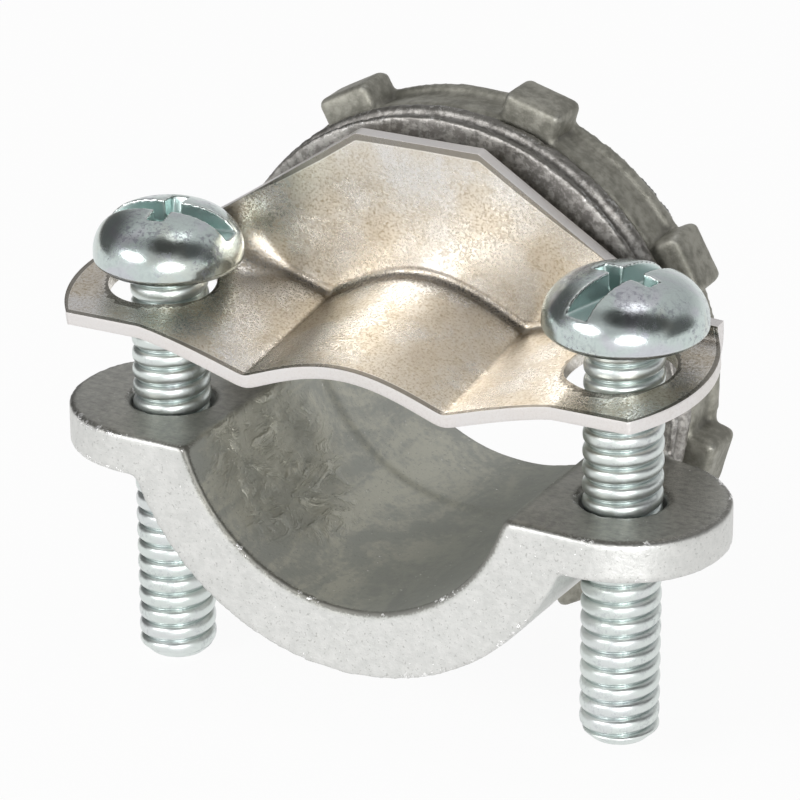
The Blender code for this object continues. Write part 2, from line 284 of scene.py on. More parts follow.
room = RoomFinish("studio_room")
bpy.context.scene.world = room.close(
    Color=WHITE, Strength=ROOM_LIGHT + (1 - ROOM_LIGHT) * seen_directly(room)
)

floor_finish = Finish("studio_floor", FLOOR_TONE)
glow = floor_finish.node("ShaderNodeEmission", {}, {"Color": WHITE, "Strength": 1.0})
painted = Wire(floor_finish, floor_finish.shader.outputs[0])
shown = floor_finish.node(
    "ShaderNodeMixShader", {}, {0: FLOOR_GLOW * seen_directly(floor_finish), 1: painted, 2: glow}
)
floor_output = floor_finish.tree.nodes["Material Output"]
floor_finish.feed(floor_output.inputs["Surface"], shown)

bm = bmesh.new()
bmesh.ops.create_grid(bm, x_segments=1, y_segments=1, size=FLOOR_SIZE)
bmesh.ops.translate(bm, verts=bm.verts, vec=(0, 0, FLOOR_LEVEL))
floor = linked("studio_floor", mesh_from("studio_floor", bm))
floor.data.materials.append(
    floor_finish.close(Base_Color=(*FLOOR_TONE, 1.0), Roughness=0.9, Metallic=0.0)
)

# %% Lamps
LAMPS = {
    "left_softbox": {"from": (-0.34, -0.62, 0.28), "size": (0.46, 0.22), "watts": 2.0},
    "front_softbox": {"from": (0.40, -0.60, 0.07), "size": (0.40, 0.15), "watts": 2.0},
    "top_softbox": {"from": (0.10, 0.05, 0.75), "size": (0.30, 0.30), "watts": 0.3},
}


def aimed(place):
    """A matrix at place whose -Z looks at the object."""
    turn = (-place).to_track_quat("-Z", "Y").to_matrix().to_4x4()
    return Matrix.Translation(place) @ turn


for name, facts in LAMPS.items():
    light = bpy.data.lights.new(name, "AREA")
    light.shape = "ELLIPSE"
    light.size, light.size_y = facts["size"]
    light.energy = facts["watts"]
    linked(name, light).matrix_world = aimed(Vector(facts["from"]))
print("lamps:", ", ".join(LAMPS))

# %% Tent
TENT_RADIUS = 1.3
TENT_TONES = (
    (0.00, (0.95, 0.95, 0.95)),
    (0.22, (0.74, 0.74, 0.74)),
    (0.45, (0.56, 0.56, 0.57)),
    (1.00, (0.70, 0.70, 0.70)),
)
TENT_PATCHES = {
    "in front": {"towards": (0.52, -0.84, 0.12), "edge": (0.955, 0.985), "tone": 3.2},
    "above the camera": {"towards": (0.20, -0.38, 0.90), "edge": (0.84, 0.95), "tone": 0.06},
    "front left, high": {"towards": (-0.55, -0.45, 0.72), "edge": (0.91, 0.97), "tone": 0.42},
    "front right, high": {"towards": (0.72, -0.20, 0.68), "edge": (0.88, 0.97), "tone": 0.10},
    "at the left": {"towards": (-0.95, 0.20, 0.18), "edge": (0.72, 0.92), "tone": 0.12},
    "at the right": {"towards": (0.95, 0.30, 0.15), "edge": (0.84, 0.96), "tone": 0.14},
}


def cut_off(bm, level, way):
    """Deletes what lies above the level (way 1) or below it (way -1)."""
    bmesh.ops.bisect_plane(
        bm, geom=bm.verts[:] + bm.edges[:] + bm.faces[:], dist=1e-7,
        plane_co=(0, 0, level), plane_no=(0, 0, way), clear_outer=True,
    )


bm = bmesh.new()
bmesh.ops.create_uvsphere(bm, u_segments=64, v_segments=32, radius=TENT_RADIUS)
cut_off(bm, 0, -1)
bmesh.ops.translate(bm, verts=bm.verts, vec=(0, 0, FLOOR_LEVEL))
tent = linked("studio_tent", mesh_from("studio_tent", bm))

tent_finish = Finish("studio_tent", (0.5, 0.5, 0.5))
point = tent_finish.node("ShaderNodeTexCoord", output="Object")
height = tent_finish.along(point, "Z") / TENT_RADIUS
tone = tent_finish.node("ShaderNodeValToRGB", {"stops": TENT_TONES}, {0: height})
way = tent_finish.node("ShaderNodeVectorMath", {"operation": "NORMALIZE"}, {0: point})
for patch in TENT_PATCHES.values():
    towards = Vector(patch["towards"]).normalized()
    facing = tent_finish.node(
        "ShaderNodeVectorMath", {"operation": "DOT_PRODUCT"}, {0: way, 1: towards}, output="Value"
    )
    tone = tent_finish.blend(tent_finish.rise(facing, *patch["edge"]), tone, [patch["tone"]] * 3)
cloth = tent_finish.node("ShaderNodeEmission", {}, {"Color": tone, "Strength": 1.0})
tent_finish.feed(tent_finish.tree.nodes["Material Output"].inputs["Surface"], cloth)
tent.data.materials.append(tent_finish.material)
for kind in ("camera", "diffuse", "shadow", "transmission", "volume_scatter"):
    setattr(tent, f"visible_{kind}", False)
print("tent radius:", TENT_RADIUS, "m")

# %% [markdown]
# ## Helpers for metal pieces
#
# Every piece goes the same way: a bmesh becomes an object, modifiers finish it, the result is
# made a plain mesh, and the mesh gets one more thing, a number per point that says how
# sharply the surface turns outwards there. Plating wears bright on such edges and cast
# corners get their nicks there. The same number also puts painted shade in the hollows and,
# on the strap, painted highlights and shadows along the bends, so the finishes read that
# number instead of painted places.
# More such numbers, from 0 to 1, say where a place is, such as the bore or a recess.


# %% From bmesh to object
def piece_from(name, bm, closed=True):
    """Links a new object that holds the bmesh."""
    bmesh.ops.remove_doubles(bm, verts=bm.verts, dist=1e-6)
    if closed:
        bmesh.ops.recalc_face_normals(bm, faces=bm.faces)
    return linked(name, mesh_from(name, bm))


def absorb(target, other):
    """Adds the faces of other to target as they are, and removes other."""
    bm = bmesh.new()
    bm.from_mesh(target.data)
    bm.from_mesh(other.data)
    bm.to_mesh(target.data)
    bm.free()
    bpy.data.objects.remove(other)


def combine(target, other, operation):
    """Joins target with other or cuts it with other, which is then removed."""
    step = target.modifiers.new(operation, "BOOLEAN")
    step.operation = operation
    step.solver = "EXACT"
    step.object = other
    settle(target)
    bpy.data.objects.remove(other)


def settle(piece):
    """Replaces the piece's mesh with what its modifiers make of it."""
    graph = bpy.context.evaluated_depsgraph_get()
    old = piece.data
    piece.data = bpy.data.meshes.new_from_object(piece.evaluated_get(graph))
    piece.modifiers.clear()
    bpy.data.meshes.remove(old)


def soften(piece, grain, passes, keep=1.0):
    """Rounds all edges as casting and plating do: small voxels, then smoothing."""
    voxels = piece.modifiers.new("voxels", "REMESH")
    voxels.mode = "VOXEL"
    voxels.voxel_size = grain
    relaxed = piece.modifiers.new("relaxed", "SMOOTH")
    relaxed.factor = 0.5
    relaxed.iterations = passes
    if keep < 1:
        thinned = piece.modifiers.new("thinned", "DECIMATE")
        thinned.ratio = keep
    settle(piece)


# %% Reading and marking a surface
def share(value):
    """The value as a share: never under 0 or over 1."""
    return min(1.0, max(0.0, value))


def points_and_normals(mesh):
    count = len(mesh.vertices)
    points = np.empty(count * 3)
    normals = np.empty(count * 3)
    mesh.vertices.foreach_get("co", points)
    mesh.vertices.foreach_get("normal", normals)
    return points.reshape(-1, 3), normals.reshape(-1, 3)


def mark_edges(mesh, reach, passes=2):
    """Stores in edge_turn how far the surface turns outwards within reach, in radians."""
    points, normals = points_and_normals(mesh)
    count = len(points)
    ends = np.empty(len(mesh.edges) * 2, dtype=int)
    mesh.edges.foreach_get("vertices", ends)
    first, second = ends.reshape(-1, 2).T
    run = points[second] - points[first]
    turn = ((normals[second] - normals[first]) * run).sum(1)
    turn /= np.maximum(1e-12, (run**2).sum(1))
    links = np.bincount(first, minlength=count) + np.bincount(second, minlength=count)
    links = np.maximum(1, links)
    bend = (np.bincount(first, turn, count) + np.bincount(second, turn, count)) / links
    for _ in range(passes):
        gathered = np.bincount(first, bend[second], count)
        gathered += np.bincount(second, bend[first], count)
        bend = 0.5 * bend + 0.5 * gathered / links
    layer = mesh.attributes.new("edge_turn", "FLOAT", "POINT")
    layer.data.foreach_set("value", np.clip(bend * reach, -2, 2).astype(np.float32))


def mark_places(mesh, name, share_at):
    """Stores share_at(point in mm, normal) for a finish that changes from place to place."""
    points, normals = points_and_normals(mesh)
    shares = [share_at(Vector(at) / MM, normal) for at, normal in zip(points, normals)]
    mesh.attributes.new(name, "FLOAT", "POINT").data.foreach_set("value", shares)


def roughen(mesh, depth_at):
    """Moves each point along its normal by depth_at(point in mm, its edge_turn)."""
    points, normals = points_and_normals(mesh)
    turns = np.empty(len(points), dtype=np.float32)
    mesh.attributes["edge_turn"].data.foreach_get("value", turns)
    depths = [depth_at(Vector(point) / MM, turn) for point, turn in zip(points, turns)]
    moved = points + normals * np.array(depths)[:, None]
    mesh.vertices.foreach_set("co", moved.ravel())
    mesh.update()


def hand_over(piece, material, body, node):
    """The last steps of every piece: finish, shading, and its place in the frame."""
    piece.data.materials.clear()
    piece.data.materials.append(material)
    piece.data.shade_smooth()
    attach(piece, body)
    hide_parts(node)
    piece.data.calc_loop_triangles()
    print(piece.name, "has", len(piece.data.loop_triangles), "triangles")


# %% [markdown]
# ## The casting
#
# One zinc casting: a half-round trough between two ears, a collar with two ribs, and a neck
# with a thread cast on it. Simple solids are joined and cut first: a stadium-shaped plate is
# the hull of two discs, the trough is a cylinder cut flat, and the collar and neck are one
# profile spun round the bore.

# %% Sizes of the casting
BORE_RADIUS = 10.9 * MM
TROUGH_RADIUS = 15.15 * MM
BODY_FRONT = -14.35 * MM
EAR_RADIUS = 6.3 * MM
EAR_Y = -8.05 * MM
EAR_TOP = -2.95 * MM
EAR_THICKNESS = 2.6 * MM
SCREW_X = 15.1 * MM
SCREW_Y = -8.2 * MM
SCREW_RADIUS = 2.35 * MM
TAP_RADIUS = 2.52 * MM
COLLAR_WIDTH = 1.9 * MM
NECK_RADIUS = 12.95 * MM
NECK_LENGTH = 9.2 * MM
NECK_CHAMFER = 1.1 * MM
THREAD_PITCH = 1.814 * MM
THREAD_DEPTH = 0.85 * MM
THREAD_START = 1.1 * MM
THREAD_TURNS = 3.95
THREAD_CREST = NECK_RADIUS - 0.02 * MM
RIDGE_SINK = 0.25 * MM
RIDGE_FOOT = 1.04 * THREAD_PITCH
RIDGE_FLAT = 0.18 * THREAD_PITCH
BORE_STEP_Y = 1.3 * MM
BORE_STEP = 0.2 * MM
BORE_MOUTH = 0.3 * MM
CASTING_GRAIN = 0.21 * MM
TAP_LENGTH = 60 * MM
ROUND = 160


# %% Spun and drawn solids
def spun(profile, steps=ROUND, along="Y"):
    """A solid of revolution round the bore or round Z; the profile lists (radius, place)."""
    bm = bmesh.new()
    line = [bm.verts.new((radius, 0, place)) for radius, place in profile]
    for pair in zip(line, line[1:]):
        bm.edges.new(pair)
    if profile[0][0] > 0:
        bm.edges.new((line[-1], line[0]))
    bmesh.ops.spin(
        bm, geom=bm.verts[:] + bm.edges[:], cent=(0, 0, 0), axis=(0, 0, 1),
        angle=math.tau, steps=steps, use_merge=True,
    )
    if along == "Y":
        quarter = Matrix.Rotation(-math.pi / 2, 3, "X")
        bmesh.ops.rotate(bm, verts=bm.verts, matrix=quarter)
    return bm


def disc(bm, radius, thickness, matrix, steps=ROUND // 2):
    bmesh.ops.create_cone(
        bm, cap_ends=True, segments=steps, radius1=radius, radius2=radius,
        depth=thickness, matrix=matrix,
    )


# %% Trough, ears, collar and neck
bm = bmesh.new()
for side in (-1, 1):
    for level in (EAR_TOP - EAR_THICKNESS, EAR_TOP):
        bmesh.ops.create_circle(
            bm, segments=ROUND // 2, radius=EAR_RADIUS,
            matrix=Matrix.Translation((side * SCREW_X, EAR_Y, level)),
        )
bmesh.ops.convex_hull(bm, input=bm.verts)
casting = piece_from("connector_casting", bm)

bm = bmesh.new()
lying = Matrix.Translation((0, BODY_FRONT / 2, 0)) @ Matrix.Rotation(math.pi / 2, 4, "X")
disc(bm, TROUGH_RADIUS, -BODY_FRONT, lying, ROUND)
cut_off(bm, EAR_TOP, 1)
bmesh.ops.holes_fill(bm, edges=bm.edges, sides=0)
combine(casting, piece_from("trough", bm), "UNION")

# Each step gives a radius in mm and a place in sixths of the collar's width from its front.
collar_steps = [
    (15.3, 0.0), (15.4, 0.5), (15.4, 1.3), (14.5, 2.1), (14.4, 2.6),
    (15.5, 3.5), (15.6, 4.2), (15.6, 5.4), (15.4, 6.0),
]
collar_profile = [(0, -COLLAR_WIDTH)]
collar_profile += [
    (radius * MM, COLLAR_WIDTH * (sixths / 6 - 1)) for radius, sixths in collar_steps
]
collar_profile += [
    (NECK_RADIUS - THREAD_DEPTH, 0),
    (NECK_RADIUS - THREAD_DEPTH, NECK_LENGTH - 0.4 * MM),
    (NECK_RADIUS - NECK_CHAMFER, NECK_LENGTH),
    (0, NECK_LENGTH),
]
combine(casting, piece_from("collar", spun(collar_profile)), "UNION")

bore_profile = [
    (0, 2 * BODY_FRONT),
    (BORE_RADIUS, 2 * BODY_FRONT),
    (BORE_RADIUS, BORE_STEP_Y - BORE_STEP / 2),
    (BORE_RADIUS - BORE_STEP, BORE_STEP_Y + BORE_STEP / 2),
    (BORE_RADIUS - BORE_STEP, NECK_LENGTH - BORE_MOUTH),
    (BORE_RADIUS - BORE_STEP + BORE_MOUTH, NECK_LENGTH),
    (BORE_RADIUS - BORE_STEP + BORE_MOUTH, 2 * NECK_LENGTH),
    (0, 2 * NECK_LENGTH),
]
combine(casting, piece_from("bore", spun(bore_profile)), "DIFFERENCE")
for side in (-1, 1):
    bm = bmesh.new()
    disc(bm, TAP_RADIUS, TAP_LENGTH, Matrix.Translation((side * SCREW_X, SCREW_Y, 0)))
    combine(casting, piece_from("tap", bm), "DIFFERENCE")
print("casting before softening:", len(casting.data.polygons), "faces")

# %% [markdown]
# The thread is one small ridge that climbs round the neck. A spin with a step along its axis
# draws exactly that from a four-sided profile. Both ends of the ridge sink into the neck, as
# a cast thread runs out. The ridge only overlaps the neck: the voxels join the two.


# %% Thread of the neck
def ridge(steps=96):
    """A closed ridge that climbs round Y, sunk into the neck at both ends."""
    bm = bmesh.new()
    foot = THREAD_CREST - THREAD_DEPTH - RIDGE_SINK
    shape = [(foot, -RIDGE_FOOT / 2), (foot, RIDGE_FOOT / 2)]
    shape += [(THREAD_CREST, RIDGE_FLAT / 2), (THREAD_CREST, -RIDGE_FLAT / 2)]
    loop = [bm.verts.new((radius, 0, place)) for radius, place in shape]
    edges = [bm.edges.new((loop[i], loop[(i + 1) % 4])) for i in range(4)]
    bmesh.ops.spin(
        bm, geom=loop + edges, cent=(0, 0, 0), axis=(0, 0, 1), angle=math.tau * THREAD_TURNS,
        dvec=(0, 0, THREAD_PITCH / steps), steps=round(steps * THREAD_TURNS), use_merge=False,
    )
    bmesh.ops.holes_fill(bm, edges=bm.edges, sides=0)
    bmesh.ops.translate(bm, verts=bm.verts, vec=(0, 0, THREAD_START))
    for vert in bm.verts:
        turn = (vert.co.z - THREAD_START) / THREAD_PITCH
        fade = min(share(4 * (turn + 0.1)), share(4 * (THREAD_TURNS - turn + 0.1)))
        past_chamfer = max(0.0, vert.co.z - NECK_LENGTH + NECK_CHAMFER)
        limit = min(THREAD_CREST, NECK_RADIUS - past_chamfer)
        radius = math.hypot(vert.co.x, vert.co.y)
        wanted = min(limit, foot + (radius - foot) * fade)
        vert.co.x *= wanted / radius
        vert.co.y *= wanted / radius
    bmesh.ops.rotate(bm, verts=bm.verts, matrix=Matrix.Rotation(-math.pi / 2, 3, "X"))
    return bm


absorb(casting, piece_from("neck_thread", ridge()))
soften(casting, CASTING_GRAIN, passes=4, keep=0.62)
mark_edges(casting.data, reach=0.3 * MM)
print("casting after softening:", len(casting.data.polygons), "faces")

# %% [markdown]
# A casting is never quite even. Slow waves and fine dents go into the mesh itself, edges get
# nicks, and the left side of the bore gets the scuffed patch that the photograph shows.

# %% Bore, scuff and collar
SCUFF_CENTRE = Vector((-9.0, -6.8, -6.0))
SCUFF_REACH = 7.0


def in_bore(point, normal=None):
    """1 on the wall of the bore, 0 from half a millimetre outside it."""
    outside = math.hypot(point.x, point.z) - BORE_RADIUS / MM - 0.1
    return share(1 - outside / 0.4)


def scuffed(point, normal=None):
    """1 in the middle of the patch that the mould left rough, 0 at its reach."""
    near = 1 - (point - SCUFF_CENTRE).length / SCUFF_REACH
    return in_bore(point) * share(2.5 * near)


def on_collar(point, normal=None):
    """1 on the collar, fading out where its front face meets the bore."""
    outwards = math.hypot(point.x, point.z) - BORE_RADIUS / MM - 0.4
    if not -COLLAR_WIDTH / MM - 0.1 < point.y < 0.1:
        return 0.0
    return share(outwards / 0.6)


mark_places(casting.data, "bore", in_bore)
mark_places(casting.data, "scuff", scuffed)
mark_places(casting.data, "collar", on_collar)
mark_places(casting.data, "upward", lambda point, normal: max(0.0, normal[2]) ** 2)


# %% Dents and nicks
def casting_relief(point, turn):
    """How far out a point goes. The waves only go inwards, so the CAD box still holds."""
    waves = 0.022 * noise.noise(point * 0.45) + 0.010 * noise.noise(point * 1.7) - 0.024
    nick = max(0.0, noise.noise(point * 1.3 + Vector((7, 0, 3))) - 0.18)
    worn = share(2 * (turn - 0.25)) + 0.5 * on_collar(point)
    flow = noise.fractal(point * 0.7, 0.9, 2.1, 4) + 0.9 * abs(noise.noise(point * 1.9))
    return MM * (waves - 0.30 * nick * worn + 0.24 * flow * scuffed(point))


roughen(casting.data, casting_relief)

# %% [markdown]
# The casting's skin is grey zinc: pale in front, darker and greener in the bore and brown on
# the collar's ribs. The faces that look up and the bore's right wall get painted shade, and so
# do the concave places. The marks above say where each tone goes, and noise of several sizes
# mottles it. The edges of the bore and of the faces that look up get a dark line, and bright
# nicks come here and there. A bump breaks up the reflections.


# %% Finish of the casting
def zinc_casting_finish():
    finish = Finish("cast_zinc", (0.5, 0.5, 0.48))
    point = finish.places()
    flow = finish.cloud(finish.stretched(point, (1.0, 0.5, 1.0)), 0.35, 6, 0.62, 1.0)
    mottle = finish.cloud(point, 2.4, 5, 0.65)
    drawn = finish.cloud(finish.stretched(point, (0.45, 2.6, 2.6)), 1.8, 4, 0.65)
    grain = finish.cloud(point, 8.0, 3, 0.6)
    turn = finish.mark("edge_turn")
    bore, scuff, collar, upward = map(finish.mark, ("bore", "scuff", "collar", "upward"))

    tone = finish.rise(0.3 * flow + 0.45 * mottle + 0.25 * drawn, 0.36, 0.64)
    skin = finish.blend(tone, (0.64, 0.645, 0.625), (0.74, 0.74, 0.72))
    # Painted shade: the faces that look up are darkened, as less light falls on them.
    top_shade = finish.blend(tone, (0.25, 0.25, 0.23), (0.45, 0.445, 0.405))
    skin = finish.blend(0.9 * upward, skin, top_shade)

    stream = finish.rise(0.7 * flow + 0.3 * mottle, 0.42, 0.60)
    lining = finish.blend(stream, (0.47, 0.48, 0.44), (0.66, 0.655, 0.57))
    # Painted shade: the bore's right wall is darkened.
    right_wall_shade = finish.rise(finish.along(point, "X"), -4.0, 4.5)
    lining = finish.blend(0.85 * right_wall_shade, lining, (0.27, 0.285, 0.26))
    worn = scuff * (0.45 + 0.55 * stream)
    lining = finish.blend(0.8 * worn, lining, (0.68, 0.67, 0.58))
    skin = finish.blend(0.9 * bore, skin, lining)

    rib_tone = finish.rise(mottle, 0.42, 0.60)
    ribs = finish.blend(rib_tone, (0.20, 0.185, 0.17), (0.45, 0.43, 0.405))
    skin = finish.blend(0.85 * collar, skin, ribs)

    seam = finish.cloud(finish.stretched(point, (1.0, 0.6, 1.0)), 0.42, 4, 0.7, 1.2) - 0.5
    crag = finish.rise(seam * seam, 0.0, 0.020)
    skin = finish.blend(0.42 * (1 - crag) * scuff, skin, (0.27, 0.265, 0.215))
    dot = finish.rise(finish.cloud(point, 5.5, 2, 0.7), 0.61, 0.68)
    skin = finish.blend(0.45 * dot, skin, (0.30, 0.30, 0.28))
    # Painted shade: concave places are darkened.
    shade_in_hollows = finish.rise(0 - turn, 0.08, 0.45)
    skin = finish.blend(0.65 * shade_in_hollows, skin, (0.13, 0.125, 0.115))
    rim = finish.rise(turn + 0.5 * (grain - 0.5), 0.10, 0.34)
    dark_side = finish.rise(bore + upward, 0.1, 0.6)
    skin = finish.blend(0.75 * rim * dark_side, skin, (0.15, 0.145, 0.13))
    knocked = finish.rise(finish.cloud(point, 0.25, 2, 0.5), 0.48, 0.60)
    nick = finish.rise(finish.cloud(point, 3.2, 3, 0.7) + 0.17 * rim * knocked, 0.68, 0.74)
    nick = nick * (1 - 0.7 * collar)
    skin = finish.blend(0.85 * nick, skin, (0.93, 0.93, 0.92))

    # The painted shade on the bore's right wall also makes it less metallic and rougher.
    shaded_bore_wall = bore * right_wall_shade
    rough = 0.46 - 0.20 * nick + 0.10 * bore + 0.20 * (mottle - 0.5) + 0.25 * shaded_bore_wall
    height = 0.5 * mottle + 0.35 * grain + 0.35 * flow + 0.5 * nick
    height = height + scuff * (4.5 * crag + 1.4 * mottle)
    return finish.close(
        Base_Color=skin, Roughness=rough, Metallic=0.92 - 0.55 * shaded_bore_wall,
        Normal=finish.bump(height, depth=0.09 * MM, strength=0.5),
    )


hand_over(casting, zinc_casting_finish(), "casting", "connector_body")

# %% [markdown]
# ## The strap
#
# One sheet of steel, stamped to a W with a raised wall behind. The real one is pressed
# between two dies, so a fine grid is pressed here too: each column of it crosses the floor,
# goes round the bend and climbs the wall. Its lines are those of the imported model, with a
# slightly sharper bend and sharper valleys. The sheet then gets its thickness, its two oversize
# holes and a small round on its cut edges.

# %% Sizes of the strap
STRAP_THICKNESS = 0.8 * MM
STRAP_PLACE = Vector((-0.44, -8.05, 4.83)) * MM
STRAP_LEAN = [math.radians(angle) for angle in (6.5, -0.72, 0.77)]
STRAP_FRONT = 5.74 * MM
STRAP_BACK = 5.05 * MM
STRAP_REACH = 20.45 * MM
STRAP_END_RADIUS = 8.8 * MM
STRAP_HOLE_RADIUS = 3.25 * MM
VALLEY_X = 6.5 * MM
VALLEY_DEPTH = 2.0 * MM
VALLEY_ROUND = 0.18 * MM
FLAT_X = 13.5 * MM
CREST_FRONT = -0.25 * MM
CREST_BACK = 0.42 * MM
WALL_HEIGHT = 9.1 * MM
WALL_TOP_X = 4.05 * MM
WALL_SLOPE = 0.7
WALL_END_HEIGHT = 0.55 * MM
WALL_END_EASE = 1.0 * MM
WALL_BEND = 0.65 * MM
WALL_SIDE_BEND = 3.0 * MM
WIDEST_BEND_X = 12.3 * MM
WIDE_BEND_SPAN = 3.6 * MM
CUT_EDGE_ROUND = 0.09 * MM
PUNCH_LENGTH = 20 * MM


# %% Lines of the press
def eased(value):
    part = share(value)
    return part * part * (3 - 2 * part)


def floor_height(x, share_back):
    """The W section: share_back is 0 at the front edge and 1 at the wall."""
    away = abs(x)
    crest = CREST_FRONT + (CREST_BACK - CREST_FRONT) * share_back
    outer = -VALLEY_DEPTH * (max(0.0, FLAT_X - away) / (FLAT_X - VALLEY_X)) ** 1.25
    inner = crest - (VALLEY_DEPTH + crest) * (1 - math.cos(math.pi / 2 * away / VALLEY_X))
    return (outer + inner + math.hypot(outer - inner, VALLEY_ROUND)) / 2


def bend_radius(x):
    """Tight along the crest and the slopes, wide only where the wall runs out."""
    near = 1 - abs(abs(x) - WIDEST_BEND_X) / WIDE_BEND_SPAN
    return WALL_BEND + (WALL_SIDE_BEND - WALL_BEND) * eased(near)


def end_reach(y):
    """How far the strap's round end reaches at this depth."""
    return STRAP_REACH - STRAP_END_RADIUS + math.sqrt(STRAP_END_RADIUS**2 - y**2)


def drawn_out(x, y):
    """Past the valleys, a column follows the strap's round end."""
    if abs(x) <= FLAT_X:
        return x
    part = (abs(x) - FLAT_X) / (end_reach(STRAP_BACK) - FLAT_X)
    return math.copysign(FLAT_X + part * (end_reach(y) - FLAT_X), x)


def wall_top(x):
    """The wall's edge: level in the middle, sloping, then easing into the flat ends."""
    slope = WALL_HEIGHT - WALL_SLOPE * max(0.0, abs(x) - WALL_TOP_X)
    ease = math.hypot(slope - WALL_END_HEIGHT, WALL_END_EASE)
    return (slope + WALL_END_HEIGHT + ease) / 2


def pressed(x, row):
    """Where the press puts a point: rows 0-1 floor, 1-2 bend, 2-3 wall."""
    bend = bend_radius(x)
    floor_end = STRAP_BACK - bend
    foot = floor_height(x, 1.0)
    if row <= 1:
        y = -STRAP_FRONT + (floor_end + STRAP_FRONT) * row
        return drawn_out(x, y), y, floor_height(x, row)
    top = wall_top(x)
    whole = math.acos(max(0.0, 1 - max(0.0, top - foot) / bend))
    angle = whole * min(1.0, row - 1)
    y = floor_end + bend * math.sin(angle)
    z = foot + bend * (1 - math.cos(angle))
    return drawn_out(x, y), y, z + max(0.0, top - z) * max(0.0, row - 2)


# %% Where the sheet was cut
def mark_cut_edge(mesh):
    """Turns the rim's vertex group into an attribute, which cuts and bevels keep."""
    shares = [sum(entry.weight for entry in vertex.groups) for vertex in mesh.vertices]
    mesh.attributes.new("cut_edge", "FLOAT", "POINT").data.foreach_set("value", shares)
    print("points on the cut edge:", round(sum(shares)))


def seen_side(point, normal):
    """1 where the surface faces up from the floor or forward from the wall, down to -1."""
    x, y, z = point * MM
    bend = bend_radius(x)
    climb = (z - floor_height(x, 1.0)) / bend if y > STRAP_BACK - bend else 0.0
    angle = math.pi / 2 * share(climb)
    return math.cos(angle) * normal[2] - math.sin(angle) * normal[1]


# %% Press the sheet
COLUMNS = 264
ROWS_FLOOR, ROWS_BEND, ROWS_WALL = 22, 12, 16
EDGE_ROW = 0.014
row_places = [0, EDGE_ROW] + [step / ROWS_FLOOR for step in range(1, ROWS_FLOOR + 1)]
row_places += [1 + step / ROWS_BEND for step in range(1, ROWS_BEND + 1)]
row_places += [2 + step / ROWS_WALL for step in range(1, ROWS_WALL)] + [3 - EDGE_ROW, 3]
last_row = len(row_places) - 1
half_length = end_reach(STRAP_BACK)

bm = bmesh.new()
bmesh.ops.create_grid(bm, x_segments=COLUMNS, y_segments=last_row, size=0.5)
for vert in bm.verts:
    x = 2 * half_length * round(vert.co.x * COLUMNS) / COLUMNS
    row = row_places[round((vert.co.y + 0.5) * last_row)]
    vert.co = pressed(x, row)
strap = piece_from("clamp_strap_sheet", bm, closed=False)
sheet = strap.modifiers.new("sheet", "SOLIDIFY")
sheet.thickness = STRAP_THICKNESS
sheet.offset = -1
sheet.use_even_offset = True
sheet.rim_vertex_group = strap.vertex_groups.new(name="sheet_rim").name
settle(strap)
mark_cut_edge(strap.data)
bm = bmesh.new()
bm.from_mesh(strap.data)
thick = [edge for edge in bm.edges if edge.calc_length() > 0.85 * STRAP_THICKNESS]
bmesh.ops.subdivide_edges(bm, edges=thick, cuts=3, use_grid_fill=True)
bm.to_mesh(strap.data)
bm.free()
for side in (-1, 1):
    bm = bmesh.new()
    disc(bm, STRAP_HOLE_RADIUS, PUNCH_LENGTH, Matrix.Translation((side * SCREW_X, 0, 0)), 96)
    combine(strap, piece_from("punch", bm), "DIFFERENCE")
rounded = strap.modifiers.new("cut edges", "BEVEL")
rounded.width = CUT_EDGE_ROUND
rounded.segments = 2
rounded.limit_method = "ANGLE"
rounded.angle_limit = math.radians(50)
settle(strap)
mark_places(strap.data, "seen_side", seen_side)
lean = Matrix.Rotation(STRAP_LEAN[2], 4, "Z") @ Matrix.Rotation(STRAP_LEAN[1], 4, "Y")
lean = lean @ Matrix.Rotation(STRAP_LEAN[0], 4, "X")
strap.data.transform(Matrix.Translation(STRAP_PLACE) @ lean)
mark_edges(strap.data, reach=0.12 * MM, passes=1)
print("strap:", len(strap.data.polygons), "faces")
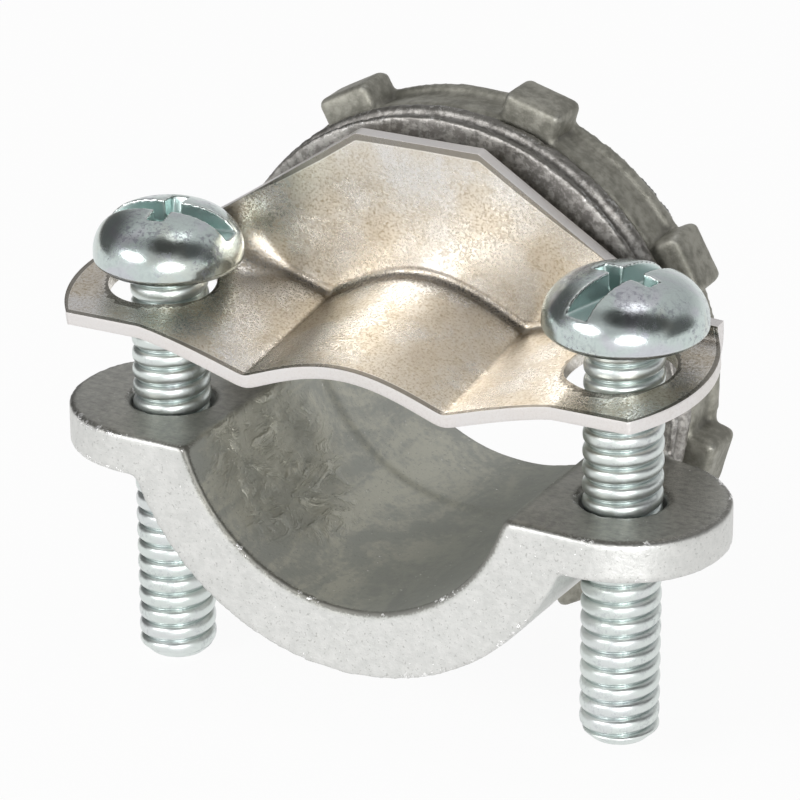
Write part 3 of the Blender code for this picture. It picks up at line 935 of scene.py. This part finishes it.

# %% [markdown]
# The strap's plating is thin: satin, warm silver, with a golden speckle where the steel's
# grain shows through, mostly below the wall's upper half. The speckle is fine noise that tints
# and roughens together, so a bright highlight breaks up as it does on the real one. The cut
# edge is paler and pinkish, with a painted dark line of shade along it on the side that faces
# up and forward. The concave bends get a painted shadow and the convex ones a painted
# highlight.


# %% Finish of the strap
def strap_finish():
    finish = Finish("strap_steel", (0.8, 0.77, 0.72))
    point = finish.places()
    height = finish.along(point, "Z")
    warmth = finish.rise(finish.cloud(point, 0.22, 3, 0.5), 0.40, 0.62)
    speckle = finish.rise(finish.cloud(point, 6.0, 3, 0.75), 0.45, 0.66)
    speckle = speckle * (1 - 0.65 * finish.rise(height, 10.0, 15.5))
    glint = finish.rise(finish.cloud(point, 6.5, 2, 0.7), 0.58, 0.68)
    rolled = finish.cloud(finish.stretched(point, (0.6, 3.0, 3.0)), 1.4, 4, 0.6)
    fine = finish.cloud(point, 11.0, 2, 0.5)
    pit = finish.rise(finish.cloud(point, 1.1, 5, 0.75), 0.72, 0.76)
    brown = finish.rise(finish.cloud(point, 0.35, 3, 0.6, 1.0), 0.44, 0.62)
    low = 1 - finish.rise(height, 10.0, 14.5)
    turn = finish.mark("edge_turn")
    cut = finish.rise(finish.mark("cut_edge"), 0.80, 0.98)
    shown = finish.rise(finish.mark("seen_side"), 0.4, 0.7)

    skin = finish.blend(warmth, (0.79, 0.77, 0.745), (0.765, 0.705, 0.61))
    skin = finish.blend(0.22 * brown * low, skin, (0.42, 0.335, 0.215))
    skin = finish.blend(speckle * (0.40 + 0.50 * warmth), skin, (0.43, 0.345, 0.225))
    skin = finish.blend(0.55 * glint, skin, (0.86, 0.84, 0.80))
    skin = finish.blend(0.7 * pit, skin, (0.18, 0.155, 0.12))
    skin = finish.blend(0.85 * cut, skin, (0.80, 0.775, 0.765))
    # Painted shadow: a dark line along the concave bends.
    crease_shadow = finish.rise(0 - turn + 0.08 * (rolled - 0.5), 0.025, 0.10)
    skin = finish.blend(0.75 * crease_shadow, skin, (0.22, 0.18, 0.13))
    # Painted highlight: a bright line along the convex bends.
    crest = finish.rise(turn + 0.10 * (fine - 0.5), 0.05, 0.16) * (1 - cut)
    skin = finish.blend(0.5 * crest, skin, (0.90, 0.87, 0.81))
    # Painted shade: a dark line along the sharp edges beside the cut, on the side that faces up
    # and forward.
    line = finish.rise(turn, 0.42, 0.60) * shown * (1 - cut)
    skin = finish.blend(0.75 * line, skin, (0.13, 0.115, 0.09))
    rough = 0.24 + 0.12 * speckle + 0.12 * (rolled - 0.5) + 0.06 * warmth + 0.12 * cut
    relief = 0.5 * fine + 0.35 * rolled + 0.4 * speckle
    return finish.close(
        Base_Color=skin, Roughness=rough, Metallic=1.0,
        Normal=finish.bump(relief, depth=0.022 * MM, strength=0.6),
    )


hand_over(strap, strap_finish(), "strap", "clamp_strap")

# %% [markdown]
# ## The clamp screws
#
# Two number 10 machine screws, one inch long. The shank is a rolled thread. One pitch of its
# profile, spun once with a climb along the axis, draws one turn, and copies of it stand on each
# other. Where one turn ends the next begins, so merging the doubles closes the surface.

# %% Sizes of the screws
SCREW_PITCH = 1.0583 * MM
SCREW_LENGTH = 25.4 * MM
SCREW_TIP_CHAMFER = 0.6 * MM
SCREW_ROOT = 2.03 * MM
HEAD_HEIGHT = 3.55 * MM
HEAD_RIM = 1.5 * MM
HEAD_FULLNESS = 0.7
SLOT_WIDTH = 1.5 * MM
SLOT_DEPTH = 1.5 * MM
CROSS_REACH = 3.0 * MM
CROSS_DEPTH = 2.3 * MM
CROSS_TAPER = 0.45
RECESS_FROM = 1.8 * MM
RECESS_SPREAD = 0.93
HEAD_GRAIN = 0.085 * MM
SHANK_IN_HEAD = 0.5 * MM
THREAD_SHAPE = (
    (0.00, 0.00), (0.04, 0.05), (0.09, 0.38), (0.16, 0.70), (0.26, 0.89), (0.38, 0.98),
    (0.50, 1.00),
    (0.62, 0.98), (0.74, 0.89), (0.84, 0.70), (0.91, 0.38), (0.96, 0.05), (1.00, 0.00),
)


# %% Rolled thread
def rolled_thread(phase, steps=56):
    """The shank from its tip at -SCREW_LENGTH up into the head."""
    bm = bmesh.new()
    line = []
    for place, rise in THREAD_SHAPE:
        radius = SCREW_ROOT + (SCREW_RADIUS - SCREW_ROOT) * rise
        line.append(bm.verts.new((radius, 0, place * SCREW_PITCH)))
    edges = [bm.edges.new(pair) for pair in zip(line, line[1:])]
    turns = math.ceil(SCREW_LENGTH / SCREW_PITCH) + 3
    bmesh.ops.spin(
        bm, geom=line + edges, cent=(0, 0, 0), axis=(0, 0, 1), angle=math.tau,
        dvec=(0, 0, SCREW_PITCH / steps), steps=steps, use_merge=False,
    )
    first_turn = bm.verts[:] + bm.edges[:] + bm.faces[:]
    for turn in range(1, turns):
        copied = bmesh.ops.duplicate(bm, geom=first_turn)["geom"]
        points = [item for item in copied if isinstance(item, bmesh.types.BMVert)]
        bmesh.ops.translate(bm, verts=points, vec=(0, 0, turn * SCREW_PITCH))
    bmesh.ops.remove_doubles(bm, verts=bm.verts, dist=1e-6)
    bmesh.ops.translate(bm, verts=bm.verts, vec=(0, 0, -SCREW_LENGTH - 1.5 * SCREW_PITCH))
    bmesh.ops.rotate(bm, verts=bm.verts, matrix=Matrix.Rotation(phase, 3, "Z"))
    cut_off(bm, -SCREW_LENGTH, -1)
    cut_off(bm, SHANK_IN_HEAD, 1)
    for vert in bm.verts:
        radius = math.hypot(vert.co.x, vert.co.y)
        above_tip = vert.co.z + SCREW_LENGTH
        limit = SCREW_RADIUS - max(0.0, SCREW_TIP_CHAMFER - above_tip)
        if radius > limit:
            vert.co.x *= limit / radius
            vert.co.y *= limit / radius
    bmesh.ops.holes_fill(bm, edges=bm.edges, sides=0)
    return bm


# %% [markdown]
# The head is spun from a quarter section, cut by a slot and by the two wedges of a cross
# recess, and then softened by small voxels, because plating leaves no edge sharp.


# %% Pan head
def block(size, foot_share, turn):
    """A cutter that narrows towards its foot, turned about the head's axis."""
    bm = bmesh.new()
    bmesh.ops.create_cube(bm, size=1)
    bmesh.ops.scale(bm, verts=bm.verts, vec=size)
    foot = [vert for vert in bm.verts if vert.co.z < 0]
    bmesh.ops.scale(bm, verts=foot, vec=(foot_share, foot_share, 1))
    bmesh.ops.rotate(bm, verts=bm.verts, matrix=Matrix.Rotation(turn, 3, "Z"))
    bmesh.ops.translate(bm, verts=bm.verts, vec=(0, 0, HEAD_HEIGHT))
    return bm


def pan_head(name, head_radius, slot_turn):
    profile = [(0, 0), (head_radius - HEAD_RIM / 4, 0), (head_radius, HEAD_RIM / 4)]
    steps = 20
    rise = HEAD_HEIGHT - HEAD_RIM / 2
    for step in range(1, steps + 1):
        angle = math.pi / 2 * step / steps
        radius = head_radius * math.cos(angle) ** HEAD_FULLNESS if step < steps else 0
        profile.append((radius, HEAD_RIM / 2 + rise * math.sin(angle)))
    head = piece_from(name, spun(profile, 96, along="Z"))
    cross = (2 * CROSS_REACH, SLOT_WIDTH, 2 * CROSS_DEPTH)
    cuts = (
        block((3 * head_radius, SLOT_WIDTH, 2 * SLOT_DEPTH), 1.0, slot_turn),
        block(cross, CROSS_TAPER, slot_turn),
        block(cross, CROSS_TAPER, slot_turn + math.pi / 2),
    )
    for cut in cuts:
        combine(head, piece_from("cut", cut), "DIFFERENCE")
    soften(head, HEAD_GRAIN, passes=5)

    def in_recess(point, normal):
        """1 on the walls of the slot and the cross, 0 on the dome."""
        across = min(1.0, math.hypot(point.x, point.y) * MM / head_radius)
        dome = HEAD_RIM / 2 + rise * math.sqrt(1 - across ** (2 / HEAD_FULLNESS))
        below_dome = dome / MM - point.z
        reached = point.z > RECESS_FROM / MM and across < RECESS_SPREAD
        return share((below_dome - 0.08) / 0.15) if reached else 0.0

    mark_places(head.data, "recess", in_recess)
    return head


# %% [markdown]
# Bright zinc plating is close to a mirror with a cold, faintly blue-green cast. Fine noise in
# its roughness keeps it from looking like chrome, slow, weak tints of straw and violet stand
# for the passivation's rainbow, and dark stains come in patches. The threads are rougher than
# the heads and painted paler, which is painted light. The thread grooves get painted shade,
# and the recesses are teal.


# %% Finish of the screws
def plated_finish(name, shift):
    finish = Finish(name, (0.75, 0.79, 0.79))
    point = finish.places()
    moved = finish.node("ShaderNodeVectorMath", {"operation": "ADD"}, {0: point, 1: shift})
    tint = finish.cloud(moved, 0.35, 2, 0.5, 0.6)
    haze = finish.cloud(moved, 2.2, 4, 0.65)
    fine = finish.cloud(moved, 9.0, 3, 0.6)
    turn, thread, recess = map(finish.mark, ("edge_turn", "thread", "recess"))
    violet = finish.rise(tint, 0.50, 0.66)
    straw = finish.rise(1 - tint, 0.54, 0.70)
    patch = finish.rise(finish.cloud(moved, 0.45, 2, 0.5), 0.46, 0.60)
    stain = finish.rise(finish.cloud(moved, 3.2, 4, 0.75), 0.47, 0.62) * (0.15 + 0.85 * patch)
    edge = finish.rise(turn, 0.15, 0.55)
    shade_in_hollows = finish.rise(0 - turn, 0.08, 0.40)

    skin = finish.blend(0.6 * violet, (0.57, 0.645, 0.625), (0.60, 0.58, 0.65))
    skin = finish.blend(0.4 * straw, skin, (0.60, 0.61, 0.54))
    # Painted light: the threads are painted paler than the heads, which have the same plating.
    skin = finish.blend(0.65 * thread, skin, (0.76, 0.80, 0.775))
    skin = finish.blend(0.70 * stain * (1 - 0.6 * thread), skin, (0.27, 0.27, 0.32))
    # Painted shade: concave places, such as the thread grooves, are darkened.
    skin = finish.blend(0.50 * shade_in_hollows, skin, (0.29, 0.37, 0.36))
    skin = finish.blend(0.85 * recess, skin, (0.60, 0.72, 0.70))
    skin = finish.blend(0.45 * edge, skin, (0.80, 0.83, 0.81))
    rough = 0.19 + 0.14 * (haze - 0.5) + 0.16 * stain + 0.15 * thread + 0.12 * recess
    return finish.close(
        Base_Color=skin, Roughness=rough, Metallic=1.0,
        Normal=finish.bump(0.5 * fine + 0.5 * haze, depth=0.016 * MM, strength=0.4),
    )


# %% Both screws in their places
UNDER_HEAD = 0.02 * MM
SCREWS = {
    "left": {"side": -1, "head": 4.5 * MM, "gap": 1.2 * MM, "slot": 9.0, "thread": 40.0},
    "right": {"side": 1, "head": 4.78 * MM, "gap": 2.4 * MM, "slot": 76.0, "thread": 200.0},
}
for name, facts in SCREWS.items():
    x = facts["side"] * SCREW_X
    strap_top = STRAP_PLACE.z - x * math.sin(STRAP_LEAN[1])
    screw = pan_head(f"{name}_clamp_screw", facts["head"], math.radians(facts["slot"]))
    absorb(screw, piece_from("shank", rolled_thread(math.radians(facts["thread"]))))
    seat = strap_top + facts["gap"]
    screw.data.transform(Matrix.Translation((x, SCREW_Y, seat)))
    shank_top = (seat - UNDER_HEAD) / MM
    mark_places(screw.data, "thread", lambda point, normal: float(point.z < shank_top))
    mark_edges(screw.data, reach=0.2 * MM)
    plating = plated_finish(f"{name}_screw_zinc", (3.0 * facts["side"], 1.0, 2.0))
    hand_over(screw, plating, f"{name}_clamp_screw", f"{name}_screw")

# %% [markdown]
# ## The locknut
#
# A cast ring with eight lugs for a screwdriver's blade, and a thin rim behind. The ring is
# spun, each lug is a bevelled block, and voxels melt them into one casting.

# %% Ring and lugs
NUT_FRONT = 0.35 * MM
NUT_THICKNESS = 3.1 * MM
NUT_RADIUS = 15.4 * MM
NUT_INNER = 13.12 * MM
RIM_LIP = 0.3 * MM
RIM_WIDTH = 0.6 * MM
LUG_COUNT = 8
LUG_PHASE = math.radians(29.2)
LUG_TOP = 17.0 * MM
LUG_FOOT = 14.3 * MM
LUG_WIDTH = 3.75 * MM
LUG_ROUND = 0.4 * MM
LUG_INSET = 0.06 * MM
NUT_CHAMFER = 0.3 * MM
NUT_DRAFT = 0.12 * MM
NUT_GRAIN = 0.15 * MM

rim_start = NUT_THICKNESS - RIM_WIDTH
ring_profile = [
    (NUT_INNER + NUT_CHAMFER, 0),
    (NUT_RADIUS - NUT_CHAMFER, 0),
    (NUT_RADIUS, NUT_CHAMFER),
    (NUT_RADIUS - NUT_DRAFT, rim_start - RIM_LIP),
    (NUT_RADIUS + RIM_LIP, rim_start),
    (NUT_RADIUS + RIM_LIP, NUT_THICKNESS),
    (NUT_INNER + NUT_CHAMFER, NUT_THICKNESS),
    (NUT_INNER, NUT_THICKNESS - NUT_CHAMFER),
    (NUT_INNER, NUT_CHAMFER),
]
bm = spun(ring_profile)
bmesh.ops.translate(bm, verts=bm.verts, vec=(0, NUT_FRONT, 0))
locknut = piece_from("locknut_ring", bm)
for lug in range(LUG_COUNT):
    bm = bmesh.new()
    bmesh.ops.create_cube(bm, size=1)
    size = (LUG_TOP - LUG_FOOT, NUT_THICKNESS - LUG_INSET, LUG_WIDTH)
    bmesh.ops.scale(bm, verts=bm.verts, vec=size)
    bmesh.ops.bevel(
        bm, geom=bm.edges[:], offset=LUG_ROUND, segments=2, profile=0.5,
        affect="EDGES", material=-1,
    )
    bmesh.ops.translate(
        bm, verts=bm.verts, vec=((LUG_TOP + LUG_FOOT) / 2, NUT_FRONT + NUT_THICKNESS / 2, 0)
    )
    turn = Matrix.Rotation(-LUG_PHASE - math.tau * lug / LUG_COUNT, 3, "Y")
    bmesh.ops.rotate(bm, verts=bm.verts, matrix=turn)
    combine(locknut, piece_from("lug", bm), "UNION")
soften(locknut, NUT_GRAIN, passes=3, keep=0.8)
mark_edges(locknut.data, reach=0.25 * MM)


def locknut_relief(point, turn):
    """How far out a point goes: slow waves, and nicks where edge_turn is high."""
    waves = 0.03 * noise.noise(point * 0.5) + 0.012 * noise.noise(point * 1.9)
    nick = max(0.0, noise.noise(point * 1.5 + Vector((0, 5, 1))) - 0.2)
    return MM * (waves - 0.25 * nick * share(2 * (turn - 0.25)))


roughen(locknut.data, locknut_relief)

# %% [markdown]
# The locknut's skin is duller and browner than the casting's. The edges of the lugs and of the
# thin rim are rubbed lighter.


# %% Finish of the locknut
def locknut_finish():
    finish = Finish("locknut_zinc", (0.46, 0.45, 0.42))
    point = finish.places()
    flow = finish.cloud(point, 0.28, 5, 0.6, 0.5)
    mottle = finish.cloud(point, 1.8, 5, 0.62)
    grain = finish.cloud(point, 8.0, 3, 0.6)
    turn = finish.mark("edge_turn")
    edge = finish.rise(turn + 0.4 * (grain - 0.5), 0.28, 0.75)
    shade_in_hollows = finish.rise(0 - turn, 0.10, 0.45)
    pit = finish.rise(finish.cloud(point, 2.6, 4, 0.7), 0.66, 0.74)
    tone = finish.rise(0.5 * flow + 0.5 * mottle, 0.38, 0.62)
    skin = finish.blend(tone, (0.24, 0.235, 0.20), (0.42, 0.41, 0.36))
    # Real pits, and painted shade in the concave places.
    skin = finish.blend(0.5 * pit + 0.5 * shade_in_hollows, skin, (0.15, 0.145, 0.13))
    skin = finish.blend(0.55 * edge, skin, (0.56, 0.56, 0.52))
    rough = 0.56 - 0.12 * edge + 0.14 * (mottle - 0.5)
    return finish.close(
        Base_Color=skin, Roughness=rough, Metallic=0.9,
        Normal=finish.bump(0.5 * mottle + 0.4 * grain, depth=0.09 * MM, strength=0.5),
    )


hand_over(locknut, locknut_finish(), "locknut", "locknut")

# %% [markdown]
#
# The Standard view transform shows a colour as it was written.

# %% Close the lesson
bpy.context.scene.view_settings.view_transform = "Standard"
bpy.context.view_layer.update()
